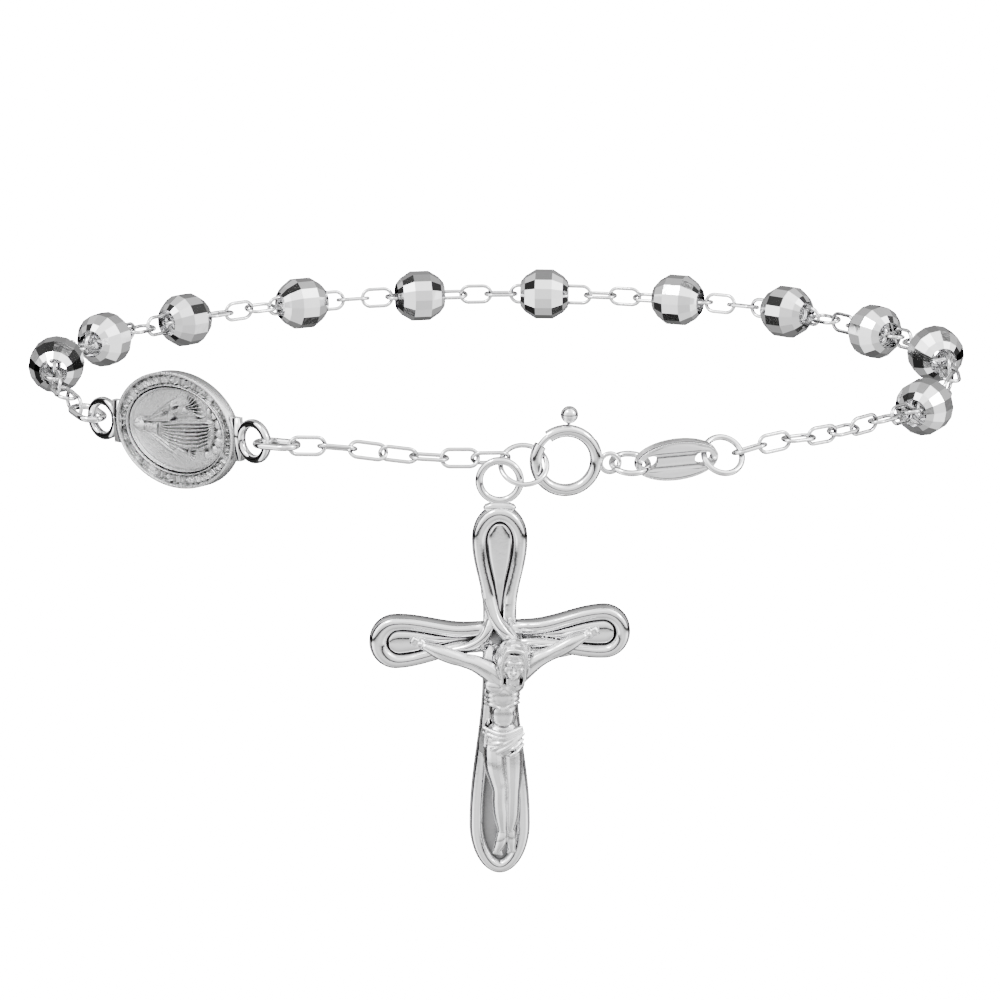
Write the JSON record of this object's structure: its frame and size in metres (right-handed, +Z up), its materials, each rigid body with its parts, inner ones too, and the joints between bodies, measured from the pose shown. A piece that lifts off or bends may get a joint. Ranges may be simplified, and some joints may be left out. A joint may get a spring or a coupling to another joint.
{
  "type": "rosary bracelet",
  "caption": "Wrist loop of faceted hollow beads on oval-link chain with an oval devotional medal, a spring ring clasp with a tag plate and a hanging ribbon crucifix.",
  "frame": {"origin": "middle of the wrist opening, at the height of the bead chain", "axes": "+X to the wearer's view right along the loop's long side, +Y away from the side with the crucifix, +Z up"},
  "size_m": [0.0677, 0.0523, 0.0339],
  "materials": {
    "polished_silver": "bright polished rhodium-plated silver"
  },
  "bodies": {
    "bracelet": {"bead_01": "polished_silver", "bead_02": "polished_silver", "bead_03": "polished_silver", "bead_04": "polished_silver", "bead_05": "polished_silver", "bead_06": "polished_silver", "bead_07": "polished_silver", "bead_08": "polished_silver", "bead_09": "polished_silver", "bead_10": "polished_silver", "bead_11": "polished_silver", "bead_chain": "polished_silver", "tag_chain": "polished_silver", "front_chain": "polished_silver", "medal": "polished_silver", "medal_link_left": "polished_silver", "medal_link_right": "polished_silver", "jump_ring": "polished_silver", "spring_ring": "polished_silver", "link_ring": "polished_silver", "tag": "polished_silver", "tag_ring": "polished_silver"},
    "latch": {"latch": "polished_silver"},
    "crucifix": {"crucifix": "polished_silver"}
  },
  "joints": [
    {"name": "latch_slide_round", "type": "hinge", "parent": "bracelet", "child": "latch", "pos_m": [0.00445, -0.02237, -0.00205], "axis": [-0.1323, 0.9912, 0], "range_deg": [0, 44], "stiffness_Nm_per_rad": 0.00002, "springref_deg": -20.05},
    {"name": "crucifix_swing", "type": "hinge", "parent": "bracelet", "child": "crucifix", "pos_m": [0.00018, -0.02333, -0.00266], "axis": [0, 1, 0], "range_deg": [-30, 30]}
  ]
}
